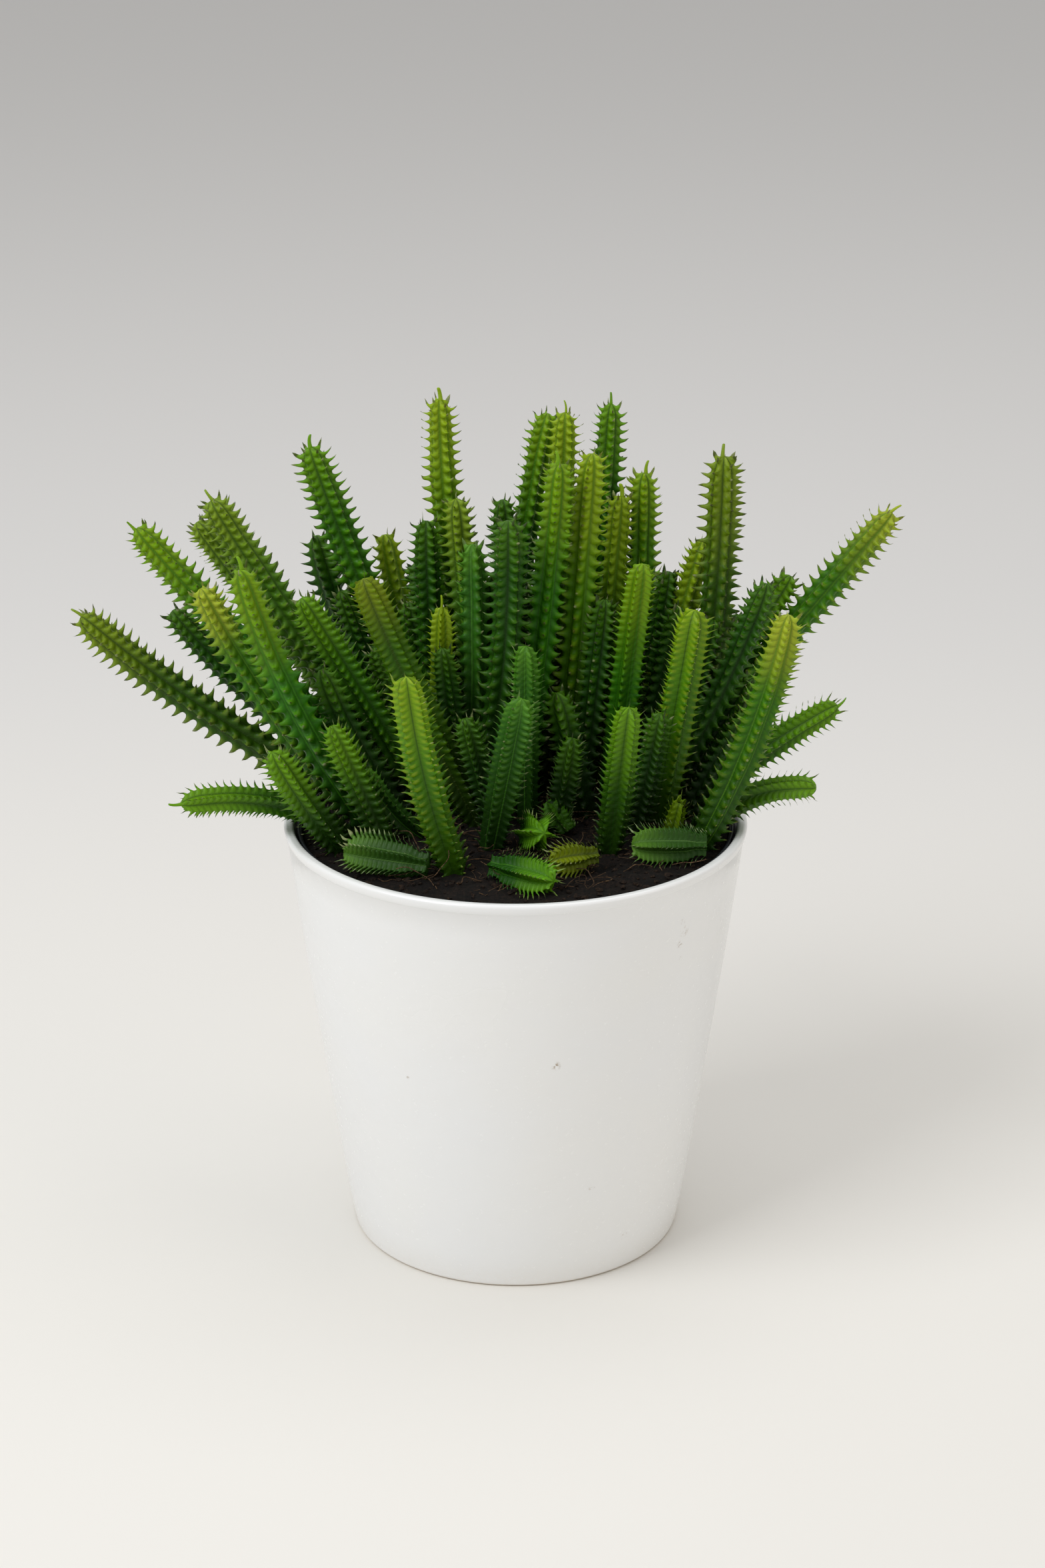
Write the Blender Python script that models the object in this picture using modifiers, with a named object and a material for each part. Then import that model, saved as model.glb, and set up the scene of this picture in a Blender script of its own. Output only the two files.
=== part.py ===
"""A clump of ribbed, toothed succulent stems in a nursery pot, inside a white cover pot.

Metres, +Z up. The origin is the middle of the cover pot's foot, and the front is at -Y.
"""
import math
from collections import namedtuple

import bmesh
import bpy
from mathutils import Vector

MM = 0.001

# Cover pot
POT_HEIGHT = 0.133
RIM_RADIUS = 0.070
FOOT_RADIUS = 0.051
POT_WALL = 0.003
POT_FLOOR = 0.005
POT_BELLY = 0.0006      # how far the wall stands proud of a straight cone, half way up
FOOT_BEVEL = 0.0012
COLLAR_HEIGHT = 0.003   # the slim band below the rim
COLLAR_STEP = 0.0004
LIP_BEVEL = 0.0006

# Nursery pot, the thin black one that the plant grows in
NURSERY_DROP = 0.0018   # its rim below the cover pot's
NURSERY_WALL = 0.0010
NURSERY_FLOOR = 0.0015
NURSERY_SLACK = 0.0010  # air between the two pots

# Soil
SOIL_DROP = 0.0045      # soil surface below the cover pot's rim

# What rests on or beside another piece keeps this gap
SEAT_GAP = 0.0003

# Plant
STEM_GIRTH = 0.0105     # a full-grown stem, crest to crest
GROOVE_DEPTH = 0.28     # grooves between the ribs, as a share of the crest's radius
SPUR_LENGTH = 0.006
BLUNT_TIP = 0.002
LAYOUT_RADIUS = 0.0642  # the soil radius that the tables below are laid out for

ROUND_STEPS = 48
WALL_LEVELS = 4         # rings along a pot's bellied wall
MERGE_DISTANCE = 0.00001

# One row for each stem, in millimetres: where its foot stands on the soil, where its crown is
# (height above the soil), how far its middle bows up (or sags, if negative), its girth as a
# share of STEM_GIRTH, its ribs, and whether its crown ends in a spur.
Stem = namedtuple("Stem", "foot crown bow girth ribs spur")

LEFT = (
    Stem((-43, 20), (-131, 16, 63), -4, 1.00, 6, True),
    Stem((-50, -7), (-99, -24, 17), 6, 0.80, 5, True),
    Stem((-51, -18), (-71, -28, 36), -1, 0.95, 6, False),
    Stem((-46, 8), (-93, 3, 76), -3, 0.95, 6, False),
    Stem((-42, -3), (-80, -11, 86), -4, 1.00, 5, True),
    Stem((-39, 31), (-105, 31, 60), -4, 0.92, 6, False),
    Stem((-33, 16), (-113, 14, 91), -1, 0.95, 6, True),
    Stem((-28, 27), (-92, 31, 95), -2, 1.05, 7, True),
    Stem((-31, 37), (-98, 45, 84), -1, 0.95, 7, False),
    Stem((-24, 12), (-64, 9, 71), 0, 0.95, 6, False),
    Stem((-33, 6), (-58, 0, 52), -2, 0.92, 5, False),
    Stem((-28, -6), (-45, -10, 24), -2, 0.70, 5, False),
    Stem((-20, 43), (-63, 48, 107), -2, 1.05, 6, True),
    Stem((-33, 47), (-62, 55, 77), -3, 0.92, 5, False),
    Stem((-24, 53), (-41, 60, 76), -1, 0.92, 5, False),
    Stem((-11, 3), (-45, -3, 81), -1, 1.05, 5, False),
)
MIDDLE = (
    Stem((-18, -34), (-31, -42, 64), -2, 1.05, 5, False),
    Stem((-9, 46), (-23, 44, 123), -3, 0.90, 6, True),
    Stem((-8, 34), (-18, 33, 95), -1, 0.92, 6, False),
    Stem((-20, 32), (-27, 34, 88), -2, 0.92, 6, False),
    Stem((-23, 20), (-22, 20, 65), 0, 0.75, 5, True),
    Stem((-14, 24), (-13, 22, 84), -2, 0.92, 5, False),
    Stem((-11, 13), (-2, 9, 95), -3, 1.05, 6, False),
    Stem((-7, -15), (2, -21, 50), 0, 1.00, 5, False),
    Stem((2, 35), (-4, 36, 94), 0, 0.86, 6, False),
    Stem((3, 3), (3, -2, 60), 0, 0.84, 5, False),
    Stem((0, 52), (10, 54, 116), 4, 0.90, 6, False),
    Stem((11, 43), (15, 44, 119), 0, 0.90, 6, True),
    Stem((1, 21), (13, 18, 110), -1, 0.95, 6, True),
    Stem((15, 28), (23, 26, 111), 0, 1.00, 6, False),
    Stem((22, 47), (29, 50, 120), 0, 0.88, 6, True),
    Stem((25, 38), (32, 39, 94), 0, 0.86, 6, True),
    Stem((22, 10), (12, 4, 43), 0, 0.92, 5, False),
    Stem((28, -17), (33, -25, 49), 0, 0.95, 5, False),
)
RIGHT = (
    Stem((38, 41), (39, 44, 100), 0, 0.95, 6, True),
    Stem((29, 19), (38, 15, 80), 0, 0.95, 5, False),
    Stem((43, 6), (53, 1, 70), 0, 1.08, 5, False),
    Stem((28, 29), (57, 36, 81), -3, 0.86, 6, False),
    Stem((54, 23), (62, 26, 110), -2, 1.02, 7, True),
    Stem((43, 16), (75, 11, 75), -2, 0.86, 6, False),
    Stem((54, -16), (79, -19, 75), -3, 1.02, 6, False),
    Stem((43, 35), (114, 31, 91), 0, 0.98, 6, True),
    Stem((51, 12), (98, 12, 36), 2, 0.86, 6, True),
    Stem((53, -5), (90, -15, 19), 5, 0.84, 5, False),
    Stem((46, -10), (49, -11, 14), 0, 0.66, 6, False),
)
BACK = (
    Stem((-11, 56), (-19, 84, 72), 0, 0.92, 6, False),
    Stem((12, 54), (16, 86, 84), 0, 0.98, 6, True),
    Stem((31, 47), (45, 91, 54), 4, 0.92, 6, True),
)
# Young shoots that lie along the soil: foot and crown both give the height of the axis.
Shoot = namedtuple("Shoot", "foot crown bow girth ribs")

SHOOTS = (
    Shoot((-28, -39, 5), (-51, -32, 6), 0, 0.92, 6),
    Shoot((53, -27, 6), (33, -27, 6), 0, 0.98, 6),
    Shoot((4, -16, 5), (9, -25, 9), 0, 0.98, 6),
    Shoot((-4, -42, 5), (12, -53, 5), 0, 0.92, 6),
    Shoot((21, -33, 5), (9, -38, 5), 0, 0.78, 6),
    Shoot((14, -6, 5), (9, -4, 12), 0, 0.74, 6),
)

# (share of the way from foot to crown, share of the full girth)
STEM_RINGS = (
    (0.0, 0.74), (0.12, 0.90), (0.35, 1.0), (0.65, 0.97), (0.86, 0.86), (0.96, 0.62), (1.0, 0.30),
)
SHOOT_RINGS = ((0.0, 0.62), (0.15, 0.92), (0.5, 1.0), (0.85, 0.72), (1.0, 0.30))
TURN_UP = 0.3           # the share of a stem over which its rings turn from level to its axis
UPRIGHT = 0.2           # a ring's first crest looks towards +Y where +X is this near its normal


def clear_scene():
    for thing in list(bpy.data.objects):
        bpy.data.objects.remove(thing, do_unlink=True)


def material(name, colour, roughness, metallic=0.0):
    made = bpy.data.materials.new(name)
    made.use_nodes = True
    shader = made.node_tree.nodes["Principled BSDF"]
    shader.inputs["Base Color"].default_value = (*colour, 1.0)
    shader.inputs["Roughness"].default_value = roughness
    shader.inputs["Metallic"].default_value = metallic
    return made


def add_object(name, mesh, finish):
    mesh.materials.append(finish)
    thing = bpy.data.objects.new(name, mesh)
    parts.objects.link(thing)
    return thing


def turned(name, profile, finish):
    """A closed solid of revolution from (radius, height) points that run down the outer side."""
    form = bmesh.new()
    points = [form.verts.new((radius, 0.0, height)) for radius, height in profile]
    for first, second in zip(points, points[1:]):
        form.edges.new((first, second))
    mesh = bpy.data.meshes.new(name)
    form.to_mesh(mesh)
    form.free()
    thing = add_object(name, mesh, finish)
    screw = thing.modifiers.new("turn", "SCREW")
    screw.steps = ROUND_STEPS
    screw.render_steps = ROUND_STEPS
    screw.use_merge_vertices = True
    screw.merge_threshold = MERGE_DISTANCE
    screw.use_smooth_shade = True
    return thing


def outer_radius(height):
    """The cover pot's outside: a cone with a slight belly."""
    share = height / POT_HEIGHT
    return FOOT_RADIUS + (RIM_RADIUS - FOOT_RADIUS) * share + POT_BELLY * 4 * share * (1 - share)


def cover_inside(height):
    return outer_radius(height) - POT_WALL


def nursery_outside(height):
    return cover_inside(height) - NURSERY_SLACK


def nursery_inside(height):
    return nursery_outside(height) - NURSERY_WALL


def levels(low, high, count):
    """Heights from high to low, both ends included."""
    return [high + (low - high) * step / count for step in range(count + 1)]


def make_cover_pot():
    collar_foot = POT_HEIGHT - COLLAR_HEIGHT
    profile = [(0.0, POT_FLOOR)]
    inside = levels(POT_FLOOR, POT_HEIGHT, WALL_LEVELS)
    profile += [(cover_inside(height), height) for height in reversed(inside[1:])]
    profile.append((cover_inside(POT_HEIGHT), POT_HEIGHT - LIP_BEVEL))
    profile.append((cover_inside(POT_HEIGHT) + LIP_BEVEL, POT_HEIGHT))
    profile.append((RIM_RADIUS - LIP_BEVEL, POT_HEIGHT))
    profile.append((RIM_RADIUS, POT_HEIGHT - LIP_BEVEL))
    profile.append((outer_radius(collar_foot), collar_foot))
    outside = levels(FOOT_BEVEL, collar_foot - COLLAR_STEP, WALL_LEVELS)
    profile += [(outer_radius(height) - COLLAR_STEP, height) for height in outside]
    profile.append((FOOT_RADIUS - FOOT_BEVEL, 0.0))
    profile.append((0.0, 0.0))
    return turned("cover_pot", profile, glaze)


def make_nursery_pot():
    base = POT_FLOOR + SEAT_GAP
    floor = base + NURSERY_FLOOR
    rim = POT_HEIGHT - NURSERY_DROP
    profile = [
        (0.0, floor),
        (nursery_inside(floor), floor),
        (nursery_inside(rim), rim),
        (nursery_outside(rim), rim),
        (nursery_outside(base), base),
        (0.0, base),
    ]
    return turned("nursery_pot", profile, black_plastic)


def make_soil():
    base = POT_FLOOR + SEAT_GAP + NURSERY_FLOOR + SEAT_GAP
    profile = [
        (0.0, soil_top),
        (nursery_inside(soil_top) - SEAT_GAP, soil_top),
        (nursery_inside(base) - SEAT_GAP, base),
        (0.0, base),
    ]
    return turned("soil", profile, peat)


def bent_axis(foot, crown, bow):
    """A curve from foot to crown whose middle is lifted square to the straight line by bow."""
    chord = (crown - foot).normalized()
    lift = (Vector((0.0, 0.0, 1.0)) - chord * chord.z).normalized()
    turn = (foot + crown) / 2 + lift * bow * 2

    def place(share):
        return foot * (1 - share) ** 2 + turn * 2 * share * (1 - share) + crown * share ** 2

    def heading(share):
        return ((turn - foot) * (1 - share) + (crown - turn) * share).normalized()

    return place, heading


def add_ring(form, centre, normal, radius, ribs):
    """A star of crests and grooves, square to normal, with its first crest towards +X."""
    across = Vector((1.0, 0.0, 0.0)) - normal * normal.x
    if across.length < UPRIGHT:
        across = Vector((0.0, 1.0, 0.0)) - normal * normal.y
    across.normalize()
    beside = normal.cross(across)
    ring = []
    for corner in range(2 * ribs):
        angle = math.pi * corner / ribs
        reach = radius if corner % 2 == 0 else radius * (1 - GROOVE_DEPTH)
        ring.append(form.verts.new(centre + (across * math.cos(angle) + beside * math.sin(angle)) * reach))
    return ring


def ribbed_body(name, axis, rings, radius, ribs, tip, flat_foot):
    """A loft of star-shaped rings along a bent axis, closed by a foot face and a pointed crown."""
    place, heading = axis
    form = bmesh.new()
    lofted = []
    for share, girth in rings:
        normal = heading(share)
        if flat_foot:
            # the foot lies flat on the soil, and the rings above turn gradually to the axis
            normal = Vector((0.0, 0.0, 1.0)).lerp(normal, min(1.0, share / TURN_UP)).normalized()
        lofted.append(add_ring(form, place(share), normal, radius * girth, ribs))
    count = 2 * ribs
    for lower, upper in zip(lofted, lofted[1:]):
        for corner in range(count):
            after = (corner + 1) % count
            form.faces.new((lower[corner], lower[after], upper[after], upper[corner]))
    form.faces.new(list(reversed(lofted[0])))
    apex = form.verts.new(place(1.0) + heading(1.0) * tip)
    for corner in range(count):
        form.faces.new((lofted[-1][corner], lofted[-1][(corner + 1) % count], apex))
    bmesh.ops.triangulate(form, faces=form.faces[:])
    mesh = bpy.data.meshes.new(name)
    form.to_mesh(mesh)
    form.free()
    return add_object(name, mesh, green)


def on_layout(point, ground):
    """A table's point in millimetres, spread to the real soil and set on the ground."""
    x, y, height = point
    return Vector((x * MM * spread, y * MM * spread, ground + height * MM * spread))


def make_stem(name, stem):
    foot = on_layout((*stem.foot, 0), soil_top + SEAT_GAP)
    crown = on_layout(stem.crown, soil_top + SEAT_GAP)
    axis = bent_axis(foot, crown, stem.bow * MM * spread)
    radius = STEM_GIRTH * stem.girth * spread / 2
    tip = (SPUR_LENGTH if stem.spur else BLUNT_TIP) * spread
    return ribbed_body(name, axis, STEM_RINGS, radius, stem.ribs, tip, flat_foot=True)


def make_shoot(name, shoot):
    foot = on_layout(shoot.foot, soil_top)
    crown = on_layout(shoot.crown, soil_top)
    axis = bent_axis(foot, crown, shoot.bow * MM * spread)
    radius = STEM_GIRTH * shoot.girth * spread / 2
    return ribbed_body(name, axis, SHOOT_RINGS, radius, shoot.ribs, BLUNT_TIP * spread, flat_foot=False)


clear_scene()
parts = bpy.data.collections.new("potted_stem_succulent")
bpy.context.scene.collection.children.link(parts)

glaze = material("white_glaze", (0.86, 0.85, 0.82), 0.22)
black_plastic = material("black_plastic", (0.012, 0.013, 0.018), 0.45)
peat = material("dark_peat", (0.020, 0.013, 0.009), 0.95)
green = material("green_stem", (0.055, 0.17, 0.022), 0.42)

soil_top = POT_HEIGHT - SOIL_DROP
spread = nursery_inside(soil_top) / LAYOUT_RADIUS

make_cover_pot()
make_nursery_pot()
make_soil()
for number, row in enumerate(LEFT + MIDDLE + RIGHT + BACK, start=1):
    make_stem(f"stem_{number:02d}", row)
for number, row in enumerate(SHOOTS, start=1):
    make_shoot(f"shoot_{number}", row)
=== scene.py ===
"""A clump of ribbed, toothed succulent stems in a nursery pot, standing in a white cover pot.

Metres, +Z up, front at -Y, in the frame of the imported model.
"""
import math
import random
from collections import namedtuple

import bmesh
import bpy
import numpy as np
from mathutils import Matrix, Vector


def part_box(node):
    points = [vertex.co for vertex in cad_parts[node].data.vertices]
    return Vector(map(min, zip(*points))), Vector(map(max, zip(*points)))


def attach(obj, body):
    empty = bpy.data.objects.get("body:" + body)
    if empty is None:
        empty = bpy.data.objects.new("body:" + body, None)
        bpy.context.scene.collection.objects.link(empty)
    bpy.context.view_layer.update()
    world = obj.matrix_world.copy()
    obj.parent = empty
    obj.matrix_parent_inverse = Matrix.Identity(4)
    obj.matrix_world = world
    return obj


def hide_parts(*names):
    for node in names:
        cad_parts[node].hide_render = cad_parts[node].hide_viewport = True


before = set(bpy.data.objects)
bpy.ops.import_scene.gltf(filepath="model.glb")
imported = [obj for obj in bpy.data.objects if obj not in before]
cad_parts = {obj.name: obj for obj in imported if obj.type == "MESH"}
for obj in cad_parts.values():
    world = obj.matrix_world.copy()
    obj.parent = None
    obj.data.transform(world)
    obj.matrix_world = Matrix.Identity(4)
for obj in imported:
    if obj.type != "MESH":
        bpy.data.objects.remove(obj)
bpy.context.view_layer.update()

# ------------------------------------------------------------------------------------------
# Cover pot. A cast stoneware cone with a slim collar under its rim, glazed gloss white inside
# and out except for the foot ring that it stands on. Its wall is turned in one go, from the
# recess under the foot up the outside, over the lip and down to the inner floor.

POT_SIDES = 160
FOOT_RADIUS = 0.051
RECESS_RADIUS = 0.039
RECESS_DEPTH = 0.0009
FOOT_ROUND = 0.0014
POT_BELLY = 0.0006      # how far the wall stands proud of a straight cone, half way up
POT_WALL = 0.003
POT_FLOOR = 0.005
FLOOR_ROUND = 0.004
COLLAR_HEIGHT = 0.003
COLLAR_STEP = 0.0004
LIP_ROUND = 0.0011
WALL_STEPS = 16
CRISP_ANGLE = 50        # a turned wall's edges sharper than this stay crisp, in degrees

pot_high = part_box("cover_pot")[1]
RIM_RADIUS = pot_high.x
POT_HEIGHT = pot_high.z


def deselect_all():
    """Leaves edit mode, if need be, with nothing selected."""
    if bpy.context.object and bpy.context.object.mode != "OBJECT":
        bpy.ops.object.mode_set(mode="OBJECT")
    bpy.ops.object.select_all(action="DESELECT")


def take_up(piece):
    """Makes piece the one that the next operators act on."""
    deselect_all()
    piece.select_set(True)
    bpy.context.view_layer.objects.active = piece


def extrude_to(rise, widen, drift=(0.0, 0.0)):
    """Extrudes what is selected by rise, moves it sideways by drift and scales it by widen."""
    bpy.ops.mesh.extrude_region_move(TRANSFORM_OT_translate={"value": (*drift, rise)})
    bpy.ops.transform.resize(value=(widen, widen, 1.0))


def turn_wall(name, sides, steps):
    """A closed turned piece: a disc at the first (radius, height), extruded through the others."""
    radius, height = steps[0]
    place = (0.0, 0.0, height)
    deselect_all()
    bpy.ops.mesh.primitive_circle_add(vertices=sides, radius=radius, fill_type="NGON", location=place)
    piece = bpy.context.object
    piece.name = name
    piece.data.name = name
    bpy.ops.object.transform_apply(location=True)
    bpy.ops.object.mode_set(mode="EDIT")
    bpy.ops.mesh.select_mode(type="EDGE")
    bpy.ops.mesh.select_all(action="SELECT")
    for next_radius, next_height in steps[1:]:
        extrude_to(next_height - height, next_radius / radius)
        radius, height = next_radius, next_height
    bpy.ops.mesh.select_all(action="SELECT")
    bpy.ops.mesh.normals_make_consistent(inside=False)
    bpy.ops.object.mode_set(mode="OBJECT")
    bpy.ops.object.shade_smooth_by_angle(angle=math.radians(CRISP_ANGLE))
    return piece


def rounding(radius, height, bend, start, end, steps=5):
    """(radius, height) points round a corner's centre, between two angles in degrees."""
    angles = [math.radians(start + (end - start) * step / steps) for step in range(steps + 1)]
    return [(radius + bend * math.cos(angle), height + bend * math.sin(angle)) for angle in angles]


def outer_radius(height):
    """The pot's outside: a cone with a slight belly."""
    share = height / POT_HEIGHT
    return FOOT_RADIUS + (RIM_RADIUS - FOOT_RADIUS) * share + POT_BELLY * 4 * share * (1 - share)


def spaced(low, high, count):
    """Evenly spaced values from low to high, in count steps."""
    return [low + (high - low) * step / count for step in range(count + 1)]


collar_foot = POT_HEIGHT - COLLAR_HEIGHT
inner_rim = RIM_RADIUS - POT_WALL
inner_floor = outer_radius(POT_FLOOR) - POT_WALL
pot_profile = [(RECESS_RADIUS - RECESS_DEPTH, RECESS_DEPTH), (RECESS_RADIUS, 0.0)]
pot_profile += rounding(FOOT_RADIUS - FOOT_ROUND - COLLAR_STEP, FOOT_ROUND, FOOT_ROUND, -90, 0)
pot_profile += [
    (outer_radius(height) - COLLAR_STEP, height)
    for height in spaced(FOOT_ROUND, collar_foot - COLLAR_STEP, WALL_STEPS)[1:]
]
pot_profile += [
    (outer_radius(collar_foot) - COLLAR_STEP / 2, collar_foot - COLLAR_STEP / 3),
    (outer_radius(collar_foot), collar_foot + COLLAR_STEP / 2),
]
pot_profile += rounding(RIM_RADIUS - LIP_ROUND, POT_HEIGHT - LIP_ROUND, LIP_ROUND, 0, 90)
pot_profile += rounding(inner_rim + LIP_ROUND, POT_HEIGHT - LIP_ROUND, LIP_ROUND, 90, 180)
pot_profile += [
    (outer_radius(height) - POT_WALL, height)
    for height in spaced(POT_HEIGHT - LIP_ROUND, POT_FLOOR + FLOOR_ROUND, WALL_STEPS)[1:]
]
pot_profile += rounding(inner_floor - FLOOR_ROUND, POT_FLOOR + FLOOR_ROUND, FLOOR_ROUND, 0, -90)[1:]
pot = turn_wall("glazed_cover_pot", POT_SIDES, pot_profile)


class Shade:
    """One socket in a finish's node tree. Arithmetic with it adds Math nodes."""

    def __init__(self, tree, socket=None):
        self.tree = tree
        self.socket = socket

    def node(self, kind, settings=None, inputs=None, output=0):
        """Adds a node: first its settings (a ramp's stops too), then its sockets' values or links."""
        made = self.tree.nodes.new(kind)
        for name, value in (settings or {}).items():
            if name == "stops":
                points = made.color_ramp.elements
                while len(points) < len(value):
                    points.new(0.5)
                for point, (position, colour) in zip(points, value):
                    point.position = position
                    point.color = (*colour, 1.0)
            else:
                setattr(made, name, value)
        for name, value in (inputs or {}).items():
            if isinstance(value, Shade):
                self.tree.links.new(value.socket, made.inputs[name])
            else:
                made.inputs[name].default_value = value
        return Shade(self.tree, made.outputs[output])

    def math(self, operation, first, second=0.0):
        return self.node("ShaderNodeMath", {"operation": operation}, {0: first, 1: second})

    def __add__(self, other):
        return self.math("ADD", self, other)

    def __sub__(self, other):
        return self.math("SUBTRACT", self, other)

    def __rsub__(self, other):
        return self.math("SUBTRACT", other, self)

    def __mul__(self, other):
        return self.math("MULTIPLY", self, other)

    __radd__ = __add__
    __rmul__ = __mul__

    def fade(self, low, high):
        """0 at low and 1 at high, eased between them."""
        values = {0: self, 1: low, 2: high, 3: 0.0, 4: 1.0}
        return self.node("ShaderNodeMapRange", {"interpolation_type": "SMOOTHSTEP"}, values)

    def noise(self, place, size, detail=3.0, roughness=0.55):
        """Cloudy noise whose blotches are about size metres across."""
        values = {"Vector": place, "Scale": 1.0 / size, "Detail": detail, "Roughness": roughness}
        return self.node("ShaderNodeTexNoise", None, values)

    def mix(self, amount, first, second):
        """A colour between first and second."""
        return self.node("ShaderNodeMix", {"data_type": "RGBA"}, {0: amount, 6: first, 7: second}, 2)


def srgb(red, green, blue):
    """A colour picked on a 0 to 255 scale, in the shader's linear units."""
    return tuple(((part / 255 + 0.055) / 1.055) ** 2.4 for part in (red, green, blue))


def begin_finish(name, uniform):
    """A new material with the shader's uniform values set: returns it and its Object coordinates."""
    material = bpy.data.materials.new(name)
    material.use_nodes = True
    shader = material.node_tree.nodes["Principled BSDF"]
    for socket, value in uniform.items():
        shader.inputs[socket].default_value = value
    place = Shade(material.node_tree).node("ShaderNodeTexCoord", output="Object")
    return material, place


def lay(shade, socket):
    """Feeds shade to the finish's shader."""
    shader = shade.tree.nodes["Principled BSDF"]
    shade.tree.links.new(shade.socket, shader.inputs[socket])


def lay_bump(height, distance, strength=1.0):
    """Roughens the finish: where height is 1 it seems to stand distance metres proud."""
    values = {"Height": height, "Distance": distance, "Strength": strength}
    lay(height.node("ShaderNodeBump", None, values), "Normal")


def opaque(colour):
    """The colour with full alpha, as a mix takes it."""
    return (*colour, 1.0)


# Marks that water and soil have left on the glaze: angle from the front in degrees towards the
# right, height, and size.
STAINS = (
    (46, 0.1185, 0.0010),
    (47, 0.1150, 0.0016),
    (46, 0.1110, 0.0011),
    (47, 0.1060, 0.0007),
    (11, 0.0790, 0.0013),
    (24, 0.0340, 0.0010),
    (39, 0.0120, 0.0011),
    (-31, 0.0710, 0.0006),
)


SPLASHED = 0.012        # soil has splashed the pot up to this height
FOOT_LINE = 0.0009      # the glaze ends this far above the table


def make_glaze():
    """White glaze, faintly clouded and wavy, with its water marks and the bare clay of its foot."""
    material, place = begin_finish("white_glaze", {"IOR": 1.5, "Coat Weight": 0.35, "Coat Roughness": 0.12})
    cloud = place.noise(place, 0.05)
    grime = place.noise(place, 0.0016, detail=4.0, roughness=0.7)
    colour = place.mix(cloud, opaque(srgb(236, 238, 241)), opaque(srgb(240, 240, 237)))
    height = place.node("ShaderNodeSeparateXYZ", None, {0: place}, "Z")
    splash = 1 - height.fade(0.0, SPLASHED)
    colour = place.mix(splash * grime * 0.25, colour, opaque(srgb(205, 192, 170)))
    for angle, level, size in STAINS:
        around = math.radians(angle)
        spot = (outer_radius(level) * math.sin(around), -outer_radius(level) * math.cos(around), level)
        away = place.node("ShaderNodeVectorMath", {"operation": "DISTANCE"}, {0: place, 1: spot}, "Value")
        mark = (1 - away.fade(size * 0.3, size * 1.5)) * grime.fade(0.46, 0.62)
        colour = place.mix(mark * 0.75, colour, opaque(srgb(148, 124, 88)))
    bare = 1 - height.fade(FOOT_LINE / 3, FOOT_LINE)
    colour = place.mix(bare, colour, opaque(srgb(214, 203, 186)))
    lay(colour, "Base Color")
    lay(0.22 + cloud * 0.08 + bare * 0.45 + grime.fade(0.62, 0.74) * 0.10, "Roughness")
    lay_bump(place.noise(place, 0.011, detail=2.0) + grime * 0.05, 0.00022)
    return material


def hand_over(piece, finish, slot, *nodes):
    """Gives a finished piece its material, and lets it stand for its nodes. Its slot is not used."""
    piece.data.materials.clear()
    piece.data.materials.append(finish)
    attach(piece, "root")
    if nodes:
        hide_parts(*nodes)


hand_over(pot, make_glaze(), "white_glaze", "cover_pot")

# ------------------------------------------------------------------------------------------
# Nursery pot. The thin moulded pot that the plant is grown and sold in, of black plastic. It
# drops into the cover pot and ends just under its rim, where a small bead stiffens its edge.

NURSERY_SLACK = 0.001
NURSERY_WALL = 0.001
NURSERY_FLOOR = 0.0015
BEAD = 0.00045
FLOOR_DISC = 0.4        # the middle disc of the pot's underside, as a share of its radius

nursery_low, nursery_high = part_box("nursery_pot")


def nursery_outside(height):
    """The nursery pot follows the cover pot's inside."""
    return outer_radius(height) - POT_WALL - NURSERY_SLACK


nursery_base = nursery_low.z
nursery_rim = nursery_high.z
nursery_heights = spaced(nursery_base, nursery_rim - 2 * BEAD, WALL_STEPS)
nursery_profile = [(nursery_outside(nursery_base) * FLOOR_DISC, nursery_base)]
nursery_profile += [(nursery_outside(height), height) for height in nursery_heights]
nursery_profile += rounding(nursery_outside(nursery_rim) - BEAD / 2, nursery_rim - BEAD, BEAD, -30, 210, 8)
nursery_profile += [
    (nursery_outside(height) - NURSERY_WALL, height)
    for height in reversed(nursery_heights[1:])
]
nursery_profile += [(nursery_outside(nursery_base) - NURSERY_WALL, nursery_base + NURSERY_FLOOR)]
nursery_pot = turn_wall("moulded_nursery_pot", POT_SIDES, nursery_profile)


def make_black_plastic():
    """Blue-black moulded plastic with peat dust on it."""
    material, place = begin_finish("black_plastic", {"IOR": 1.48})
    cloud = place.noise(place, 0.006)
    dust = place.noise(place, 0.0007, detail=2.0)
    colour = place.mix(cloud, opaque(srgb(16, 19, 26)), opaque(srgb(34, 38, 48)))
    colour = place.mix(dust.fade(0.6, 0.75) * 0.5, colour, opaque(srgb(84, 72, 60)))
    lay(colour, "Base Color")
    lay(0.36 + dust * 0.25, "Roughness")
    lay_bump(dust + cloud, 0.00008)
    return material


hand_over(nursery_pot, make_black_plastic(), "black_plastic", "nursery_pot")

# ------------------------------------------------------------------------------------------
# Soil. Damp peat that fills the nursery pot, heaved up in low mounds between the stems. It is
# one body, turned like the pots, with its top raised and roughened.

SOIL_SIDES = 180
SOIL_RINGS = 62
SOIL_DISC = 0.3         # the middle disc of the soil's underside, as a share of its radius
EDGE_ROUND = 0.0004
EDGE_DROP = 0.001
CALM_EDGE = 0.012       # the mounds die away over this width towards the pot
MOUND = 0.0045
MOUND_SIZE = 0.022
LUMP = 0.0030
LUMP_SIZE = 0.0035

soil_low, soil_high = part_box("soil")
soil_radius = soil_high.x
soil_top = soil_high.z
soil_taper = nursery_outside(soil_top) - nursery_outside(soil_low.z)
soil_foot = soil_radius - soil_taper

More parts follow.
